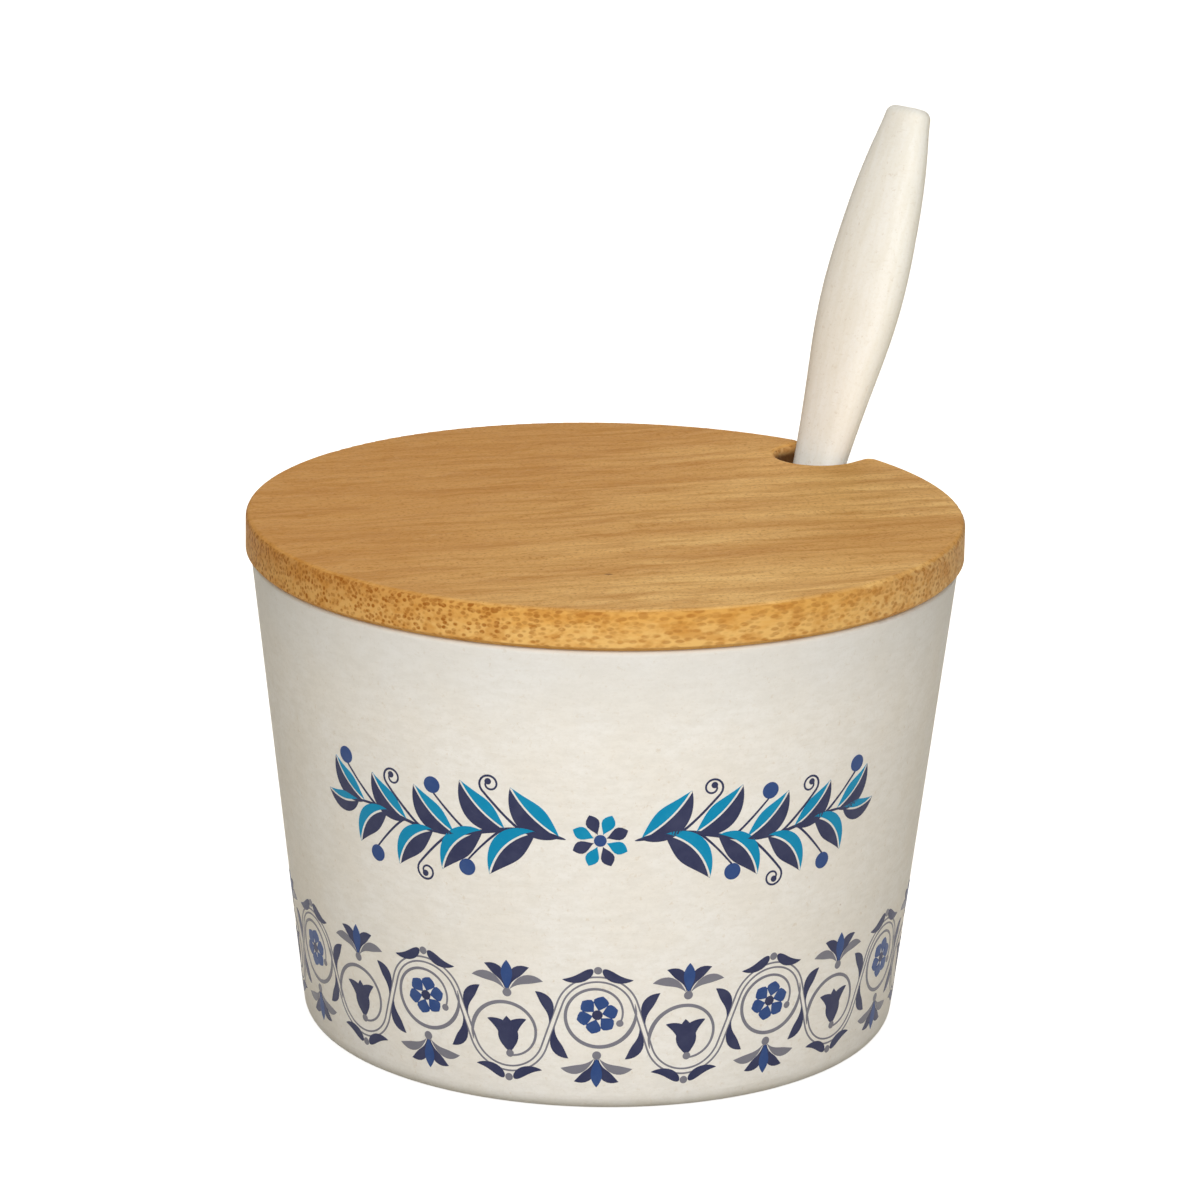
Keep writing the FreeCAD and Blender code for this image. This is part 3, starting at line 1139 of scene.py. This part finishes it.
@dataclass
class Garland:
    """Two leafy branches that spread from the front of the dish, above the border."""

    reference: float = 46.1
    middle_height: float = 40.4
    inner_end: float = 4.6
    spacing: float = 7.4
    wave: float = 0.9
    wave_length: float = 24.0
    stem_start: float = 0.8
    stem_end: float = 0.3
    stem_rise: float = 0.07
    leaf_pairs: int = 5
    pairs_short: float = 0.65
    leaf_shape: LeafShape = LeafShape(9.4, 4.4, -1.0, 0.46)
    leaf_turn: float = 46.0
    leaf_places: Point = (0.12, 0.55)
    leaf_shrink: float = 0.05
    vein: float = 0.3
    vein_share: float = 0.58
    tip_size: float = 0.66
    tip_back: float = 0.5
    tip_turn: float = 2.0
    tendril_places: Point = (0.69, 0.61)
    stalk_end: Point = (5.4, 5.3)
    stalk_powers: Point = (0.94, 1.12)
    stalk_length: float = 7.4
    stalk_width: float = 0.34
    curl_width: float = 0.36
    thin_width: float = 0.24
    berry_place: Point = (-0.1, 0.8)
    berry_radius: float = 1.2
    curl_radius: float = 1.5
    curl_end: float = 0.42
    curl_sweep: float = 460.0
    curl_dot: float = 0.45
    petals: int = 8
    petal: LeafShape = LeafShape(3.0, 1.85, fat=0.6)
    petal_foot: float = 0.95
    petal_turn: float = 22.5
    eye_radius: float = 0.85
    wall: ConeWall = field(default_factory=ConeWall)

    def __post_init__(self) -> None:
        """Starts the design."""
        self.design = Ornament(self.wall)
        self.brush = self.design.brush

    def stem(self, x: float) -> Point:
        """The stem's point at a distance along the wall from the front."""
        phase = 2 * math.pi * (x - self.inner_end) / self.wave_length
        return x, self.middle_height + self.wave * math.sin(phase)

    def leaf(self, size: float, upper: bool, *moves: Move) -> None:
        """One leaf in two inks, cyan on its upper side and navy below.

        Args:
            size: How long it is, as a share of the full length.
            upper: Whether it grows above the stem.
            moves: What carries it to its place, its stalk at the origin.
        """
        whole = self.brush.leaf(self.leaf_shape, 1 if upper else -1, size)
        low, high = self.brush.halves(whole, self.vein, self.vein_share)
        self.design.add(Ink.NAVY, low, 2, *moves)
        self.design.add(Ink.CYAN, high, 2, *moves)

    def branch(self, mirror: bool) -> None:
        """One branch, from its inner end to its tip.

        Args:
            mirror: Whether it is the left one.
        """
        side = frame_move((0.0, 0.0), mirror=mirror)
        length = self.spacing * (self.leaf_pairs - self.pairs_short)
        spine = self.brush.path(lambda t: self.stem(self.inner_end + length * t), length)
        stem = self.brush.tapered(spine, self.stem_start, self.stem_end, self.stem_rise)
        self.design.add(Ink.NAVY, stem, 1, side)
        last = self.leaf_pairs - 1
        for i in range(self.leaf_pairs):
            for row, upper in enumerate((True, False)):
                if upper or i < last:
                    x = self.inner_end + self.spacing * (i + self.leaf_places[row])
                    put = frame_move(self.stem(x), self.leaf_turn if upper else -self.leaf_turn)
                    self.leaf(1.0 - self.leaf_shrink * i, upper, put, side)
                    if i < last - row:
                        start = self.stem(x + self.spacing * self.tendril_places[row])
                        berry = i % 2 == (1 if upper else 0)
                        (self.berry if berry else self.curl)(start, 1 if upper else -1, side)
        tip = frame_move(self.stem(self.inner_end + length - self.tip_back), self.tip_turn)
        self.leaf(self.tip_size, True, tip, side)

    def stalk(self, start: Point, sign: int) -> list[Point]:
        """The stalk of a berry or of a curl, which bends away from the stem as it goes.

        Args:
            start: Where it leaves the stem.
            sign: One above the stem, and minus one below it.

        Returns:
            Its points.
        """
        end, power = self.stalk_end, self.stalk_powers
        return self.brush.path(
            lambda t: (start[0] + end[0] * t ** power[0], start[1] + sign * end[1] * t ** power[1]),
            self.stalk_length)

    def berry(self, start: Point, sign: int, side: Move) -> None:
        """A stalked berry between two leaves.

        Args:
            start: Where its stalk leaves the stem.
            sign: One above the stem, and minus one below it.
            side: What mirrors it for the left branch.
        """
        spine = self.stalk(start, sign)
        stalk = self.brush.tapered(spine, self.stalk_width, self.thin_width)
        self.design.add(Ink.NAVY, stalk, 1, side)
        middle = spine[-1][0] + self.berry_place[0], spine[-1][1] + self.berry_place[1] * sign
        self.design.dot(Ink.ROYAL, middle, self.berry_radius, 3, side)

    def curl(self, start: Point, sign: int, side: Move) -> None:
        """A thin curl between two leaves.

        Args:
            start: Where its stalk leaves the stem.
            sign: One above the stem, and minus one below it.
            side: What mirrors it for the left branch.
        """
        spine = self.stalk(start, sign)
        (x_before, y_before), (x, y) = spine[-2:]
        heading, radius = math.atan2(y - y_before, x - x_before), self.curl_radius
        middle = x - radius * math.sin(heading) * sign, y + radius * math.cos(heading) * sign
        angle = math.degrees(heading) - 90.0 * sign
        coil = self.brush.coil(middle, radius, self.curl_end, angle, self.curl_sweep * sign)
        curl = self.brush.tapered(spine[:-1] + coil, self.curl_width, self.thin_width)
        self.design.add(Ink.NAVY, curl, 1, side)
        self.design.dot(Ink.NAVY, coil[-1], self.curl_dot, 4, side)

    def flower(self) -> None:
        """The flower between the branches, with petals of two inks by turns."""
        petal = self.brush.leaf(self.petal).placed(frame_move((self.petal_foot, 0.0)))
        middle = 0.0, self.middle_height
        for i in range(self.petals):
            turn = frame_move(middle, 360.0 / self.petals * i + self.petal_turn)
            self.design.add(Ink.CYAN if i % 2 else Ink.NAVY, petal, 5 + i % 2, turn)
        self.design.dot(Ink.ROYAL, middle, self.eye_radius, 7)

    def build(self, finishes: dict[Ink, bpy.types.Material]) -> list[bpy.types.Object]:
        """Draws both branches and the flower between them.

        Args:
            finishes: The material of each ink.

        Returns:
            The pieces.
        """
        for mirror in (False, True):
            self.branch(mirror)
        self.flower()
        return self.design.lay("garland", self.reference, finishes)


@dataclass
class RigidPiece:
    """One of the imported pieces, which keeps its shape and gets its finish."""

    node: str
    finish: FibreFinish | BambooFinish

    def dress(self) -> bpy.types.Object:
        """Puts the finish in every material slot of the piece.

        Returns:
            The piece.
        """
        material = self.finish.material()
        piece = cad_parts[self.node]
        if not piece.material_slots:
            piece.data.materials.append(material)
        for slot in piece.material_slots:
            slot.material = material
        return piece


@dataclass(frozen=True)
class Studio:
    """The pale floor, the soft light and the camera, whose elevation and roll are in radians."""

    floor_radius: float = 6000.0
    floor_corners: int = 96
    # The grey of the painted shade ring round the foot.
    floor_shade_ring: Colour = (170, 165, 150)
    floor_far: Colour = (232, 225, 207)
    floor_reach: Ramp = Ramp(42.0, 53.0)
    floor_glow: float = 0.90
    room: float = 0.14
    room_colour: Colour = (255, 245, 228)
    white: Colour = (255, 255, 255)
    key_power: float = 15.8
    rear_power: float = 4.2
    lamp_size: float = 900.0
    lamp_distance: float = 1400.0
    lamp_aim: Triple = (0.0, 0.0, 40.0)
    key_around: float = 2.0
    key_elevation: float = 32.0
    rear_around: float = 180.0
    rear_elevation: float = 42.0
    camera_elevation: float = 0.28110
    camera_roll: float = -0.01680
    camera_distance: float = 818.15
    camera_shift: Point = (0.5791, -58.04)
    camera_lens: float = 172.04
    camera_sensor: float = 36.0
    camera_nearest: float = 50.0
    camera_farthest: float = 20000.0

    def make_world(self) -> None:
        """A white room to look at that lights the object at a plain level."""
        world = bpy.data.worlds.new("studio_room")
        bpy.context.scene.world = world
        make = Recipe(world)
        lit = make.node("ShaderNodeBackground", linear(self.room_colour), self.room)
        white = make.node("ShaderNodeBackground", linear(self.white))
        mix = make.node("ShaderNodeMixShader", make.seen(), lit.outputs[0], white.outputs[0])
        make.node("ShaderNodeOutputWorld", mix.outputs[0])

    def make_floor(self) -> bpy.types.Object:
        """A wide pale floor that shows white but keeps the object's shadow, with a painted shade ring
        round the foot.

        Returns:
            The floor.
        """
        corners = []
        for i in range(self.floor_corners):
            angle = 2 * math.pi * i / self.floor_corners
            corners.append(Vector((math.cos(angle), math.sin(angle), 0.0)) * self.floor_radius * MM)
        mesh = bpy.data.meshes.new("floor")
        mesh.from_pydata(corners, [], [tuple(range(self.floor_corners))])
        floor = bpy.data.objects.new("floor", mesh)
        bpy.context.scene.collection.objects.link(floor)
        make = Recipe(bpy.data.materials.new("floor_paper"))
        # A ring of painted shade darkens the floor round the foot, and so dims the light that the
        # floor throws back onto the foot.
        away = make.length(make.place())
        colour = make.lay(linear(self.floor_shade_ring), self.floor_far, away, self.floor_reach)
        cloth = make.node("ShaderNodeBsdfDiffuse", colour)
        shown = make.calc("MULTIPLY", make.seen(), self.floor_glow)
        glow = make.node("ShaderNodeEmission", linear(self.white), shown)
        both = make.node("ShaderNodeAddShader", cloth.outputs[0], glow.outputs[0])
        make.node("ShaderNodeOutputMaterial", both.outputs[0])
        mesh.materials.append(make.owner)
        return floor

    def make_lamp(
        self, name: str, around: float, elevation: float, power: float,
    ) -> bpy.types.Object:
        """A large soft lamp that faces the object.

        Args:
            name: The lamp's name.
            around: Its direction from the front, in degrees, towards +X.
            elevation: Its direction above the floor, in degrees.
            power: Its power in watts.

        Returns:
            The lamp.
        """
        data = bpy.data.lights.new(name, "AREA")
        data.shape = "DISK"
        data.size = self.lamp_size * MM
        data.energy = power
        lamp = bpy.data.objects.new(name, data)
        bpy.context.scene.collection.objects.link(lamp)
        side, up = math.radians(around), math.radians(elevation)
        level = math.cos(up)
        out = Vector((math.sin(side) * level, -math.cos(side) * level, math.sin(up)))
        lamp.location = (out * self.lamp_distance + Vector(self.lamp_aim)) * MM
        lamp.rotation_mode = "QUATERNION"
        lamp.rotation_quaternion = (-out).to_track_quat("-Z", "Y")
        return lamp

    def make_camera(self) -> bpy.types.Object:
        """The camera at the photograph's viewing angle, framed for a square picture.

        Returns:
            The camera, which is also set as the scene's own.
        """
        rise = self.camera_elevation
        back = Vector((0.0, -math.cos(rise), math.sin(rise)))
        right, up = Vector((1.0, 0.0, 0.0)), Vector((0.0, math.sin(rise), math.cos(rise)))
        cos, sin = math.cos(self.camera_roll), math.sin(self.camera_roll)
        x_axis, y_axis = right * cos - up * sin, right * sin + up * cos
        place = back * self.camera_distance
        place -= right * self.camera_shift[0] + up * self.camera_shift[1]
        data = bpy.data.cameras.new("camera")
        data.sensor_width = self.camera_sensor
        data.lens = self.camera_lens
        data.clip_start, data.clip_end = self.camera_nearest * MM, self.camera_farthest * MM
        camera = bpy.data.objects.new("camera", data)
        bpy.context.scene.collection.objects.link(camera)
        turn = Matrix((x_axis, y_axis, back)).transposed().to_4x4()
        camera.matrix_world = Matrix.Translation(place * MM) @ turn
        bpy.context.scene.camera = camera
        return camera

    def build(self) -> None:
        """Sets up the whole studio."""
        bpy.context.scene.view_settings.view_transform = "Standard"
        self.make_world()
        self.make_floor()
        self.make_lamp("key_lamp", self.key_around, self.key_elevation, self.key_power)
        self.make_lamp("rear_lamp", self.rear_around, self.rear_elevation, self.rear_power)
        self.make_camera()


def main() -> None:
    """Builds the studio, dresses the three rigid pieces and prints the ornament."""
    logging.basicConfig(level=logging.INFO, format="%(name)s: %(message)s")
    Studio().build()
    LOG.info("studio is set up")
    body = FibreFinish(rim_height=67.8)
    streaked = Noise((1 / 1.3, 1 / 1.3, 1 / 11.0), 0.34, 0.70, 0.42, detail=3, rough=0.65)
    # The spoon's paler copy of the fibre is partly its own paler colour and partly painted light:
    # brighter, to offset the warm light that the lid throws onto it.
    pale = FibreFinish(
        "bamboo_fibre_pale", cream=(254, 253, 247), shade=(240, 235, 220), warm=(251, 247, 236),
        clouds=streaked, lean=(0.246, 0.268))
    for node, finish in (("dish", body), ("lid", BambooFinish()), ("spoon", pale)):
        piece = RigidPiece(node, finish).dress()
        LOG.info("%s is dressed in %s", piece.name, finish.name)
    inks = {ink: InkFinish(ink).material() for ink in Ink}
    for design in (ScrollBorder(), Garland()):
        for piece in design.build(inks):
            LOG.info("%s is printed, %d faces", piece.name, len(piece.data.polygons))


if __name__ == "__main__":
    main()
